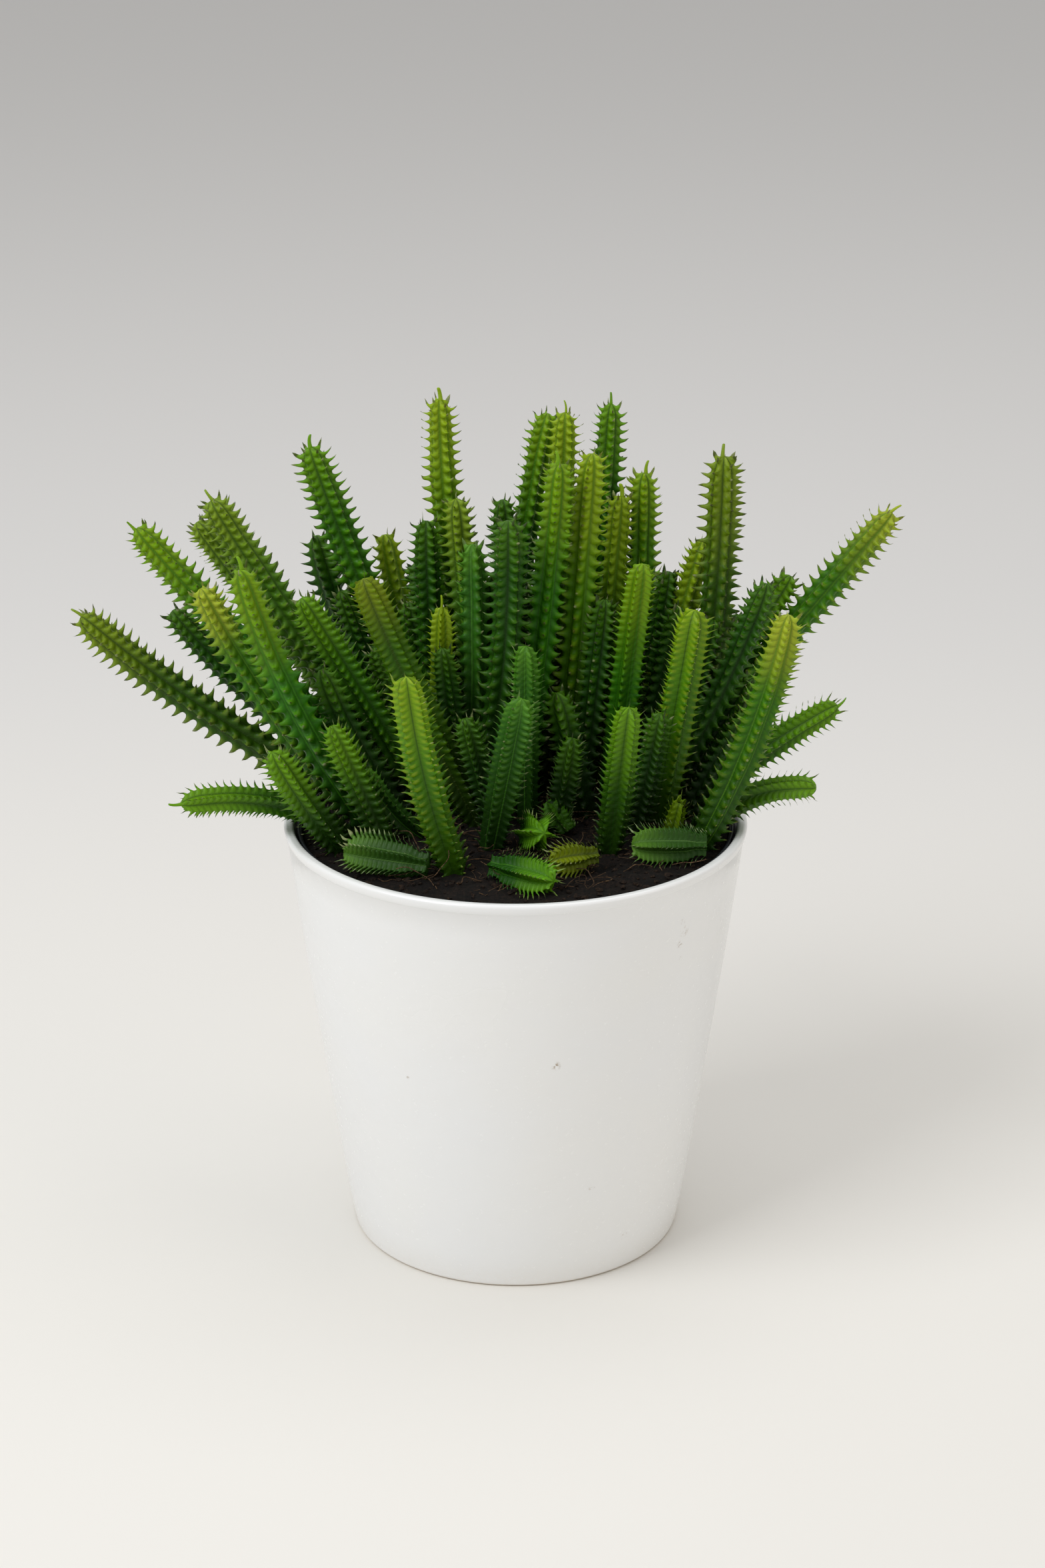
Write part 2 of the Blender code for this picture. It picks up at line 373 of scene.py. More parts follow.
soil_rings = spaced(soil_radius - EDGE_ROUND, soil_radius / SOIL_RINGS, SOIL_RINGS)
soil_profile = [(soil_foot * SOIL_DISC, soil_low.z), (soil_foot, soil_low.z)]
soil_profile += [(soil_radius, soil_top - EDGE_DROP)]
soil_profile += [(radius, soil_top) for radius in soil_rings]
soil = turn_wall("peat_soil", SOIL_SIDES, soil_profile)


def cloud_texture(name, size, depth=3):
    """Clouds about size metres across, to push a surface in and out by."""
    made = bpy.data.textures.new(name, "CLOUDS")
    made.noise_scale = size
    made.noise_depth = depth
    return made


def push(piece, texture, strength, group="", direction="NORMAL", middle=0.5):
    """Displaces the piece by a texture read at its own place, and applies it."""
    modifier = piece.modifiers.new("push", "DISPLACE")
    modifier.texture = texture
    modifier.texture_coords = "LOCAL"
    modifier.strength = strength
    modifier.mid_level = middle
    modifier.direction = direction
    modifier.vertex_group = group
    take_up(piece)
    bpy.ops.object.modifier_apply(modifier="push")


def group_by(piece, name, weight):
    """A vertex group from a list of one weight for each vertex."""
    group = piece.vertex_groups.new(name=name)
    for index, share in enumerate(weight):
        if share > 0.001:
            group.add([index], float(share), "REPLACE")


def places(piece):
    """The piece's points as rows of x, y and z."""
    points = np.empty(len(piece.data.vertices) * 3)
    piece.data.vertices.foreach_get("co", points)
    return points.reshape(-1, 3)


points = places(soil)
from_edge = np.clip((soil_radius - np.hypot(points[:, 0], points[:, 1])) / CALM_EDGE, 0.12, 1.0)
group_by(soil, "surface", np.where(points[:, 2] > soil_top - 0.0005, from_edge, 0.0))
push(soil, cloud_texture("mounds", MOUND_SIZE), MOUND, "surface", "Z", 0.35)
push(soil, cloud_texture("lumps", LUMP_SIZE), LUMP, "surface", "Z", 0.5)


def make_peat(name, dark, light, size):
    """Crumbly matt peat or root, with grains about size metres across."""
    material, place = begin_finish(name, {"IOR": 1.35})
    grain = place.noise(place, size, detail=6.0, roughness=0.7)
    clump = place.noise(place, size * 9)
    colour = place.mix(grain.fade(0.35, 0.7), opaque(dark), opaque(light))
    lay(place.mix(clump.fade(0.4, 0.65) * 0.6, colour, opaque(dark)), "Base Color")
    lay(0.95 - grain.fade(0.5, 0.8) * 0.25, "Roughness")
    lay_bump(grain + clump, size * 0.6)
    return material


peat = make_peat("damp_peat", srgb(5, 4, 3), srgb(36, 25, 18), 0.0011)
hand_over(soil, peat, "peat", "soil")

# ------------------------------------------------------------------------------------------
# Crumbs and fibres. Loose peat lies on the soil, with the pale brown roots and dry threads that
# show in a pot this full. One crumb and one thread of each shape are made, and then strewn.

CRUMBS = 1200
CRUMB_SHAPES = 4
CRUMB_RADIUS = 0.0007
CRUMB_FLATTEN = (1.0, 0.75, 0.6)
CRUMB_LUMPS = 0.00025
CRUMB_LIFT = 0.0002
CRUMB_MARGIN = 0.001    # crumbs keep this far from the nursery pot
THREADS = 300
THREAD_SHAPES = 6
THREAD_STEP = 0.0026    # from one bend of a thread to the next
THREAD_THIN = 0.00008
THREAD_THICKEN = 0.00004
THREAD_LIFT = 0.0006
THREAD_MARGIN = 0.008
TIP_UP = 0.25           # how far a crumb or thread tips from level, in radians
strewing = random.Random(4)


def ground_at(x, y):
    """Height of the soil's surface."""
    found, place, _, _ = soil.ray_cast(Vector((x, y, POT_HEIGHT + MOUND)), Vector((0.0, 0.0, -1.0)))
    return place.z if found else soil_top


def strew(shape, x, y, lift, size):
    """A copy of shape with its own mesh, turned at random and laid on the soil."""
    made = shape.copy()
    made.data = shape.data.copy()
    bpy.context.scene.collection.objects.link(made)
    made.location = (x, y, ground_at(x, y) + lift)
    turn = (strewing.gauss(0, TIP_UP), strewing.gauss(0, TIP_UP), strewing.uniform(0, math.tau))
    made.rotation_euler = turn
    made.scale = (size, size, size)
    return made


def gather(name, members):
    """Joins objects into one piece whose place is in its mesh."""
    deselect_all()
    for member in members:
        member.select_set(True)
    bpy.context.view_layer.objects.active = members[0]
    bpy.ops.object.join()
    bpy.ops.object.transform_apply(location=True, rotation=True, scale=True)
    members[0].name = name
    members[0].data.name = name
    return members[0]


def somewhere(reach):
    """A random spot on the soil, as likely near the edge as in the middle for its area."""
    radius = reach * math.sqrt(strewing.random())
    around = strewing.uniform(0, math.tau)
    return radius * math.cos(around), radius * math.sin(around)


def make_crumb(number):
    """One small flattened lump of peat."""
    deselect_all()
    bpy.ops.mesh.primitive_ico_sphere_add(subdivisions=1, radius=CRUMB_RADIUS)
    crumb = bpy.context.object
    bpy.ops.object.mode_set(mode="EDIT")
    bpy.ops.transform.resize(value=CRUMB_FLATTEN)
    bpy.ops.transform.vertex_random(offset=CRUMB_LUMPS, seed=number)
    bpy.ops.object.mode_set(mode="OBJECT")
    return crumb


def make_thread(number):
    """A wiry root: a bent curve with a round section, made a mesh."""
    wander = random.Random(50 + number)
    deselect_all()
    bpy.ops.curve.primitive_bezier_curve_add()
    thread = bpy.context.object
    line = thread.data.splines[0]
    line.bezier_points.add(3)
    heading = 0.0
    spot = Vector((0.0, 0.0, 0.0))
    for point in line.bezier_points:
        point.co = spot
        point.handle_left_type = "AUTO"
        point.handle_right_type = "AUTO"
        heading += wander.gauss(0, 0.8)
        step = Vector((math.cos(heading), math.sin(heading), wander.gauss(0, 0.25)))
        spot = spot + step * THREAD_STEP
    line.resolution_u = 3
    thread.data.bevel_depth = THREAD_THIN + THREAD_THICKEN * (number % 3)
    thread.data.bevel_resolution = 0
    thread.data.use_fill_caps = True
    bpy.ops.object.convert(target="MESH")
    return bpy.context.object


crumb_shapes = [make_crumb(number) for number in range(CRUMB_SHAPES)]
crumbs = []
for number in range(CRUMBS):
    x, y = somewhere(soil_radius - CRUMB_MARGIN)
    shape = crumb_shapes[number % CRUMB_SHAPES]
    crumbs.append(strew(shape, x, y, CRUMB_LIFT, strewing.uniform(0.5, 2.0)))
crumb_bed = gather("peat_crumbs", crumbs)

thread_shapes = [make_thread(number) for number in range(THREAD_SHAPES)]
threads = []
for number in range(THREADS):
    x, y = somewhere(soil_radius - THREAD_MARGIN)
    shape = thread_shapes[number % THREAD_SHAPES]
    threads.append(strew(shape, x, y, THREAD_LIFT, strewing.uniform(0.7, 1.5)))
thread_bed = gather("root_threads", threads)

for shape in crumb_shapes + thread_shapes:
    bpy.data.objects.remove(shape)

hand_over(crumb_bed, make_peat("loose_peat", srgb(9, 7, 5), srgb(60, 43, 30), 0.0007), "peat")
hand_over(thread_bed, make_peat("dry_root", srgb(50, 36, 24), srgb(138, 108, 78), 0.0009), "peat")

# ------------------------------------------------------------------------------------------
# Stems. Each is a fleshy green column whose ribs are rows of tubercles, and each tubercle ends
# in a soft tooth that hooks up towards the crown. One straight stem of each kind is modelled
# from its crown down, and each stem is a copy of it, cut to length and bent along its own axis.

MODEL_RADIUS = 0.00525
MODEL_LENGTH = 0.136
SHOOT_LENGTH = 0.034
ROOT_DEPTH = 0.003      # how far a stem goes into the soil
CROWN_DROP = 0.0011     # room left above a crown for its tuft of teeth
DOME = 0.70             # share of the girth that is gained over the crown's dome
DOME_DEPTH = 0.0016
SHOULDER = 0.15         # share of the girth that is gained slowly below the dome
SHOULDER_DEPTH = 0.012
FIRST_RING = 0.0006
COLUMNS = 4             # points round each rib: two on its crest and two in the groove beside it
TOOTH_SHARE = 0.40      # share of a pitch that a tubercle's foot takes
TOOTH_TAPER = 0.15      # how much narrower each of a tubercle's two steps is
TUBERCLE_STEPS = (0.55, 0.45)
STEP_HOOK = 0.4         # share of the tooth's hook that each of those steps has
FULL_PITCH_AFTER = 20   # pitches below the crown until the teeth stand at their full distance
SWELLING = 0.0008
SWELLING_SIZE = 0.016
WAVERING = 0.0015       # how far the teeth stray from their rows
WAVERING_SIZE = 0.005

# Kind: ribs, distance between teeth on a rib (old and at the crown), height of a tubercle and of
# its tooth, how far the tooth hooks up, radius of the grooves and of the dips between teeth as
# shares of the crest's, and how far crests and grooves are widened, as shares of their width.
Kind = namedtuple("Kind", "ribs pitch crown_pitch tubercle tooth hook groove dip crest_spread groove_spread")
KINDS = {
    "scalloped": Kind(5, 0.0052, 0.0027, 0.0013, 0.0009, 0.0006, 0.60, 0.80, 0.02, -0.10),
    "fine": Kind(5, 0.0028, 0.0018, 0.0006, 0.0016, 0.0006, 0.58, 0.94, -0.28, 0.10),
    "toothed": Kind(6, 0.0047, 0.0023, 0.0014, 0.0007, 0.0005, 0.62, 0.80, 0.04, -0.22),
    "dense": Kind(6, 0.0033, 0.0019, 0.0009, 0.0014, 0.0006, 0.60, 0.87, -0.14, -0.10),
    "knobbly": Kind(7, 0.0042, 0.0023, 0.0013, 0.0007, 0.0004, 0.68, 0.81, 0.14, -0.22),
    "long_toothed": Kind(7, 0.0048, 0.0030, 0.0016, 0.0009, 0.0002, 0.68, 0.82, 0.06, -0.20),
    "shoot": Kind(6, 0.0018, 0.0013, 0.0005, 0.0018, 0.0008, 0.56, 0.96, -0.28, 0.08),
}


def girth(depth):
    """Crest radius at a depth below the crown: a round dome, then a slow swelling."""
    dome = DOME * math.exp(-depth / DOME_DEPTH)
    shoulder = SHOULDER * math.exp(-depth / SHOULDER_DEPTH)
    return MODEL_RADIUS * (1 - dome - shoulder)


def ring_depths(kind, length):
    """Depths of the rings below the crown, four to a pitch: over and under each row of teeth."""
    depths = [0.0, FIRST_RING]
    pitches = 0
    while depths[-1] < length:
        ripe = min(1.0, pitches / FULL_PITCH_AFTER)
        pitch = kind.crown_pitch + (kind.pitch - kind.crown_pitch) * ripe
        for share in (TOOTH_SHARE, 0.5 - TOOTH_SHARE, TOOTH_SHARE, 0.5 - TOOTH_SHARE):
            depths.append(depths[-1] + pitch * share)
        pitches += 1
    return depths


def angle_round(place):
    """Angle about the stem's axis from +Y, the way a new circle's points run."""
    return math.atan2(-place.x, place.y) % math.tau


def pick(piece, domain, chosen):
    """In edit mode, selects only the faces or points for which chosen is true."""
    bpy.ops.mesh.select_mode(type=domain)
    bpy.ops.mesh.select_all(action="DESELECT")
    form = bmesh.from_edit_mesh(piece.data)
    for item in form.faces if domain == "FACE" else form.verts:
        item.select_set(chosen(item))
    bmesh.update_edit_mesh(piece.data)


def model_stem(name, kind, length, rounded=True):
    """A straight stem hanging down from its crown at the origin, with its flesh rounded or not.

    Ribs next to each other have their teeth at alternate heights.
    """
    depths = ring_depths(kind, length)
    columns = COLUMNS * kind.ribs
    width = math.tau / columns
    stem = turn_wall(name, columns, [(girth(depth), -depth) for depth in depths])
    levels = np.array(depths)

    def ring(place):
        return int(np.abs(levels + place.z).argmin())

    def ridge(place):
        column = round(angle_round(place) / width) % columns
        return column // COLUMNS, column % COLUMNS

    def at_side(side):
        return lambda vert: ridge(vert.co)[1] == side

    def in_groove(vert):
        return ridge(vert.co)[1] > 1

    def between_teeth(vert):
        rib, side = ridge(vert.co)
        level = ring(vert.co) - 1
        return side < 2 and level > 0 and (level // 2) % 2 != rib % 2

    def bears_tooth(face):
        place = face.calc_center_median()
        column = int(angle_round(place) / width)
        level = int(np.searchsorted(levels, -place.z)) - 2
        high = level % 2 == 0 and (level // 2) % 2 == (column // COLUMNS) % 2
        return len(face.verts) == 4 and level >= 0 and column % COLUMNS == 0 and high

    def is_tip(vert):
        return len(vert.link_faces) == 4 and all(len(face.verts) == 3 for face in vert.link_faces)

    take_up(stem)
    bpy.ops.object.mode_set(mode="EDIT")
    pick(stem, "VERT", in_groove)
    bpy.ops.transform.resize(value=(kind.groove, kind.groove, 1.0))
    pick(stem, "VERT", between_teeth)
    bpy.ops.transform.resize(value=(kind.dip, kind.dip, 1.0))
    spreads = (-kind.crest_spread, kind.crest_spread, -kind.groove_spread, kind.groove_spread)
    for side, spread in enumerate(spreads):
        pick(stem, "VERT", at_side(side))
        bpy.ops.transform.rotate(value=-width * spread, orient_axis="Z", center_override=(0, 0, 0))
    pick(stem, "FACE", bears_tooth)
    for share in TUBERCLE_STEPS:
        bpy.ops.mesh.inset(thickness=TOOTH_TAPER, depth=0.0, use_individual=True, use_relative_offset=True)
        bpy.ops.transform.shrink_fatten(value=kind.tubercle * share)
        bpy.ops.transform.translate(value=(0.0, 0.0, kind.hook * STEP_HOOK))
    bpy.ops.mesh.poke(offset=kind.tooth)
    pick(stem, "VERT", is_tip)
    bpy.ops.transform.translate(value=(0.0, 0.0, kind.hook))
    bpy.ops.transform.vert_crease(value=1.0)
    bpy.ops.object.mode_set(mode="OBJECT")
    if rounded:
        smooth = stem.modifiers.new("flesh", "SUBSURF")
        smooth.levels = 1
        smooth.render_levels = 1
        bpy.ops.object.modifier_apply(modifier="flesh")
    bpy.ops.object.shade_smooth()
    return stem


def note(piece, name, values):
    """Stores one number for each point of the piece, for its finish to read."""
    stored = piece.data.attributes.new(name, "FLOAT", "POINT")
    stored.data.foreach_set("value", np.asarray(values, dtype=np.float32))


def note_form(stem, kind, length):
    """Notes where each point is: from groove (0) to crest (1), out on a tooth, and in its row."""
    points = places(stem)
    turned = np.arctan2(-points[:, 0], points[:, 1])
    middle = math.tau / kind.ribs / COLUMNS / 2
    note(stem, "crest", 0.5 + 0.5 * np.cos(kind.ribs * (turned - middle)))
    levels = np.array(ring_depths(kind, length))
    rib = np.round((turned - middle) / (math.tau / kind.ribs))
    note(stem, "row", np.interp(-points[:, 2], levels[1:], np.arange(len(levels) - 1) / 4) + rib % 2 / 2)
    reach = np.hypot(points[:, 0], points[:, 1])
    crest = np.array([girth(max(0.0, -height)) for height in points[:, 2]])
    tooth = np.clip((reach - crest) / (kind.tubercle + kind.tooth), 0.0, 1.0)
    crowning = np.clip(1.0 + points[:, 2] / 0.003, 0.0, 1.0)
    rise = np.clip((points[:, 2] + 0.0005) / (kind.tubercle + kind.tooth), 0.0, 1.0)
    tooth = np.maximum(tooth, rise * crowning)
    note(stem, "tooth", tooth)
    note(stem, "down", -points[:, 2])
    group_by(stem, "teeth", tooth)


HORN_RADIUS = 0.0009
# Steps of the horn: how far it rises, how much it narrows and how far it bends aside.
HORN_STEPS = (
    (0.0011, 0.74, 0.0),
    (0.0012, 0.88, 0.0001),
    (0.0011, 0.9, 0.0003),
    (0.0008, 0.9, 0.0004),
    (0.0003, 0.7, 0.0002),
)
HORN_SINK = 0.0008      # how deep its foot sits in the crown
HORN_SHIFT = 0.0006
HORN_LEAN = 0.10
HORN_DRYNESS = 0.4


def make_horn():
    """The thin curved horn that some crowns end in: an old flower stalk."""
    deselect_all()
    bpy.ops.mesh.primitive_circle_add(vertices=8, radius=HORN_RADIUS, fill_type="NGON")
    horn = bpy.context.object
    bpy.ops.object.mode_set(mode="EDIT")
    bpy.ops.mesh.select_mode(type="EDGE")
    bpy.ops.mesh.select_all(action="SELECT")
    for rise, widen, drift in HORN_STEPS:
        extrude_to(rise, widen, (drift, 0.0))
    bpy.ops.mesh.select_all(action="SELECT")
    bpy.ops.mesh.normals_make_consistent(inside=False)
    bpy.ops.object.mode_set(mode="OBJECT")
    smooth = horn.modifiers.new("flesh", "SUBSURF")
    smooth.levels = 1
    smooth.render_levels = 1
    bpy.ops.object.modifier_apply(modifier="flesh")
    bpy.ops.object.shade_smooth()
    height = places(horn)[:, 2]
    note(horn, "crest", np.ones(len(height)))
    note(horn, "tooth", np.clip(height / 0.006, 0.0, HORN_DRYNESS))
    note(horn, "down", np.zeros(len(height)))
    note(horn, "row", np.zeros(len(height)))
    return horn


def rings_of(node):
    """A node's ring centres and crest radii from foot to crown, and its tip, found from the tip."""
    form = bmesh.new()
    form.from_mesh(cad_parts[node].data)
    bmesh.ops.remove_doubles(form, verts=form.verts, dist=0.000001)
    tip = max(form.verts, key=lambda vert: len(vert.link_edges))
    seen = {tip}
    ring = [tip]
    centres = []
    radii = []
    while True:
        beyond = {edge.other_vert(vert) for vert in ring for edge in vert.link_edges} - seen
        if not beyond:
            break
        ring = sorted(beyond, key=lambda vert: vert.index)
        seen |= beyond
        centre = sum((vert.co for vert in ring), Vector()) / len(ring)
        centres.insert(0, centre)
        radii.insert(0, max((vert.co - centre).length for vert in ring))
    found = tip.co.copy()
    form.free()
    return centres, radii, found


def lay_guide(centres, radii, root):
    """A curve through the centres, from root below the first, whose radius scales the model stem."""
    deselect_all()
    bpy.ops.curve.primitive_bezier_curve_add()
    guide = bpy.context.object
    guide.data.dimensions = "3D"
    guide.data.resolution_u = 16
    line = guide.data.splines[0]
    line.bezier_points.add(len(centres) + 1 - len(line.bezier_points))
    for point, centre, radius in zip(line.bezier_points, [root, *centres], [radii[0], *radii]):
        point.co = centre
        point.radius = radius / MODEL_RADIUS
        point.handle_left_type = "AUTO"
        point.handle_right_type = "AUTO"
    bpy.context.view_layer.update()
    return guide, line.calc_length()


growth = random.Random(11)
swelling = cloud_texture("swelling", SWELLING_SIZE, 1)
wavering = cloud_texture("wavering", WAVERING_SIZE, 1)


def axis_of(node):
    """The line that a node's flesh grows along, and its radii. The model's own crown tapers it."""
    centres, radii, tip = rings_of(node)
    centres[-1] = centres[-1] - (tip - centres[-1]).normalized() * CROWN_DROP
    half = len(radii) // 2
    return centres, radii[:half] + [max(radii)] * (len(radii) - half)


def grow(name, axis, model, horned):
    """A copy of the model stem, cut to its axis's length and bent along it."""
    centres, radii = axis
    root = centres[0] + (centres[0] - centres[1]).normalized() * ROOT_DEPTH
    guide, length = lay_guide(centres, radii, root)

    stem = model.copy()
    stem.data = model.data.copy()
    bpy.context.scene.collection.objects.link(stem)
    stem.name = name
    stem.data.name = name
    take_up(stem)
    bpy.ops.object.mode_set(mode="EDIT")
    bpy.ops.mesh.select_all(action="SELECT")
    bpy.ops.mesh.bisect(plane_co=(0, 0, -length), plane_no=(0, 0, 1), use_fill=True, clear_inner=True)
    bpy.ops.mesh.select_all(action="SELECT")
    bpy.ops.transform.translate(value=(0.0, 0.0, length))
    turn = growth.uniform(0, math.tau)
    bpy.ops.transform.rotate(value=turn, orient_axis="Z", center_override=(0, 0, 0))
    bpy.ops.object.mode_set(mode="OBJECT")
    if horned:
        horn = horn_model.copy()
        horn.data = horn_model.data.copy()
        bpy.context.scene.collection.objects.link(horn)
        aside = [growth.uniform(-HORN_SHIFT, HORN_SHIFT) for _ in range(2)]
        horn.location = (*aside, length - HORN_SINK)
        lean = [growth.gauss(0, HORN_LEAN) for _ in range(2)]
        horn.rotation_euler = (*lean, growth.uniform(0, math.tau))
        stem = gather(stem.name, [stem, horn])
    note(stem, "up", places(stem)[:, 2])
    bend = stem.modifiers.new("bend", "CURVE")
    bend.object = guide
    bend.deform_axis = "POS_Z"
    bpy.ops.object.modifier_apply(modifier="bend")
    bpy.data.objects.remove(guide)
    push(stem, swelling, SWELLING)
    push(stem, wavering, WAVERING, "teeth", "RGB_TO_XYZ")
    return stem


# Skin: colours of the root end, body, crown, tubercles, groove line and tooth ends, and how far
# down the crown's colour goes. The root end's colour is also painted into the grooves as shade, and
# the tubercles' colour is partly their own paler tint and partly a painted highlight. Skin darkens
# towards its foot, partly with age and partly as painted shade from its neighbours, and the soft
# new growth at a crown is yellower.
Skin = namedtuple("Skin", "root body crown knob line tooth crown_depth")
SKINS = {
    "leaf": Skin((24, 46, 2), (52, 108, 3), (102, 148, 10),
                 (110, 162, 30), (28, 72, 2), (70, 78, 34), 0.030),
    "bright": Skin((20, 52, 2), (46, 110, 3), (124, 158, 10),
                   (104, 160, 28), (60, 128, 8), (64, 76, 28), 0.042),
    "lime": Skin((30, 60, 2), (78, 132, 6), (146, 170, 20),
                 (142, 174, 42), (80, 130, 8), (84, 86, 30), 0.050),
    "deep": Skin((16, 36, 2), (36, 84, 4), (66, 110, 8),
                 (88, 130, 36), (16, 46, 2), (46, 56, 28), 0.016),
    "olive": Skin((26, 44, 2), (52, 90, 6), (120, 144, 18),
                  (138, 158, 58), (34, 62, 6), (58, 62, 28), 0.042),
    "sage": Skin((34, 60, 8), (74, 120, 20), (124, 150, 28),
                 (128, 158, 50), (40, 76, 8), (72, 82, 42), 0.034),
    "blue": Skin((22, 50, 6), (50, 106, 20), (78, 132, 24),
                 (104, 152, 56), (78, 138, 40), (84, 106, 56), 0.014),
    "pale": Skin((24, 54, 2), (60, 116, 6), (172, 184, 48),
                 (134, 164, 40), (84, 134, 18), (104, 108, 40), 0.026),
    "striped": Skin((40, 72, 3), (76, 132, 6), (122, 156, 12),
                    (160, 176, 40), (22, 56, 4), (118, 134, 56), 0.030),
    "russet": Skin((26, 44, 2), (54, 96, 2), (118, 134, 6),
                   (96, 130, 18), (54, 74, 4), (66, 72, 26), 0.026),
    "young": Skin((26, 72, 4), (54, 122, 10), (104, 164, 20),
                  (128, 174, 52), (70, 128, 24), (136, 160, 84), 0.014),
    "dusty": Skin((36, 70, 16), (64, 106, 32), (90, 134, 40),
                  (114, 146, 72), (92, 132, 60), (146, 164, 116), 0.014),
}


FLESH = {
    "IOR": 1.40,
    "Specular IOR Level": 0.28,
    "Subsurface Weight": 0.06,
    "Subsurface Radius": (0.6, 1.0, 0.10),
    "Subsurface Scale": 0.0012,
}
WEATHERED = (136, 142, 100)


def make_skin(name, skin):
    """Waxy green skin. It reads what was noted on each point: crest, tooth, down, up and row."""
    material, place = begin_finish(f"skin_{name}", FLESH)
    root, body, crown, tubercle_tint_and_highlight, line, tip = [opaque(srgb(*colour)) for colour in skin[:6]]
    crest = place.node("ShaderNodeAttribute", {"attribute_name": "crest"}, None, "Fac")
    tooth = place.node("ShaderNodeAttribute", {"attribute_name": "tooth"}, None, "Fac")
    down = place.node("ShaderNodeAttribute", {"attribute_name": "down"}, None, "Fac")
    up = place.node("ShaderNodeAttribute", {"attribute_name": "up"}, None, "Fac")
    row = place.node("ShaderNodeAttribute", {"attribute_name": "row"}, None, "Fac")
    blotch = place.noise(place, 0.011)
    patch = place.noise(place, 0.034, detail=1.0)
    mottle = place.noise(place, 0.0014, detail=4.0, roughness=0.65)
    # Painted shade: the skin darkens towards the root end's colour near its foot, partly with age and partly
    # as painted shade from the neighbouring stems.
    age_and_shade = up + blotch * 0.024 - 0.012
    colour = place.mix(age_and_shade.fade(-0.004, 0.062), root, body)
    fresh = 1 - (down + blotch * 0.016 + patch * 0.016 - 0.016).fade(0.0, skin.crown_depth)
    colour = place.mix(fresh * 0.88, colour, crown)
    # Each tubercle's face is lightened towards the tubercle colour, partly its own paler tint and partly a
    # painted highlight, and a fine dark seam runs slanting to the next one.
    swell = place.math("COSINE", (row - 0.125 + (1 - crest) * 0.35) * math.tau)
    ridge = crest.fade(0.45, 0.95)
    face = ridge * swell.fade(0.0, 1.0) * up.fade(0.004, 0.045)
    colour = place.mix(face * (0.10 + mottle * 0.55), colour, tubercle_tint_and_highlight)
    # Painted shade: the grooves between the ribs are darkened towards the root end's colour.
    colour = place.mix((1 - crest.fade(0.0, 0.55)) * 0.48, colour, root)
    seam = (1 - swell).fade(1.45, 2.0) * crest.fade(0.05, 0.35)
    colour = place.mix(seam * 0.30, colour, root)
    colour = place.mix((1 - crest.fade(0.02, 0.11)) * (0.35 + patch * 0.4), colour, line)
    colour = place.mix(mottle.fade(0.55, 0.8) * 0.30, colour, body)
    dry = place.mix(place.noise(place, 0.006).fade(0.48, 0.62), tip, opaque(srgb(*WEATHERED)))
    colour = place.mix(tooth.fade(0.38, 0.80) * 0.85, colour, dry)
    lay(colour, "Base Color")
    lay(0.39 - ridge * 0.08 + mottle * 0.16, "Roughness")
    lay_bump(mottle + blotch * 0.6 + swell * 0.35, 0.00016, 0.9)
    return material


# What each stem is like, by number: its kind and its skin.
LOOKS = {
    1: ("toothed", "olive"), 2: ("fine", "leaf"), 3: ("dense", "leaf"), 4: ("toothed", "pale"),
    5: ("scalloped", "bright"), 6: ("toothed", "deep"), 7: ("toothed", "bright"), 8: ("knobbly", "sage"),
    9: ("knobbly", "sage"), 10: ("dense", "leaf"), 11: ("scalloped", "deep"), 12: ("fine", "blue"),
    13: ("toothed", "leaf"), 14: ("scalloped", "deep"), 15: ("scalloped", "lime"), 16: ("fine", "russet"),
    17: ("fine", "striped"), 18: ("toothed", "lime"), 19: ("toothed", "sage"), 20: ("toothed", "deep"),
    21: ("fine", "lime"), 22: ("scalloped", "blue"), 23: ("toothed", "deep"), 24: ("fine", "blue"),
    25: ("toothed", "deep"), 26: ("fine", "blue"), 27: ("toothed", "bright"), 28: ("toothed", "lime"),
    29: ("toothed", "bright"), 30: ("toothed", "lime"), 31: ("toothed", "leaf"), 32: ("toothed", "lime"),
    33: ("scalloped", "deep"), 34: ("fine", "leaf"), 35: ("toothed", "striped"), 36: ("fine", "bright"),
    37: ("fine", "striped"), 38: ("toothed", "lime"), 39: ("long_toothed", "olive"), 40: ("toothed", "deep"),
    41: ("dense", "pale"), 42: ("toothed", "pale"), 43: ("dense", "leaf"), 44: ("fine", "leaf"),
    45: ("fine", "striped"), 46: ("scalloped", "leaf"), 47: ("toothed", "bright"), 48: ("toothed", "leaf"),
}
# The stems whose crowns end in a horn.
HORNED = {1, 2, 5, 7, 8, 13, 18, 21, 28, 29, 31, 32, 35, 39, 42, 43, 47, 48}

models = {}
for kind_name, kind in KINDS.items():
    length = SHOOT_LENGTH if kind_name == "shoot" else MODEL_LENGTH
    models[kind_name] = model_stem(f"model_{kind_name}", kind, length)
    note_form(models[kind_name], kind, length)
horn_model = make_horn()
skins = {name: make_skin(name, skin) for name, skin in SKINS.items()}

for number, (kind_name, skin_name) in LOOKS.items():
    node = f"stem_{number:02d}"
    stem = grow(f"flesh_{node}", axis_of(node), models[kind_name], number in HORNED)
    hand_over(stem, skins[skin_name], "stem_skin", node)

# ------------------------------------------------------------------------------------------
# Inner stems. Short old ones deep in the clump, squeezed between the feet of the others. They
# show only as dark green behind the rest, so their models are left plainer.

MM = 0.001
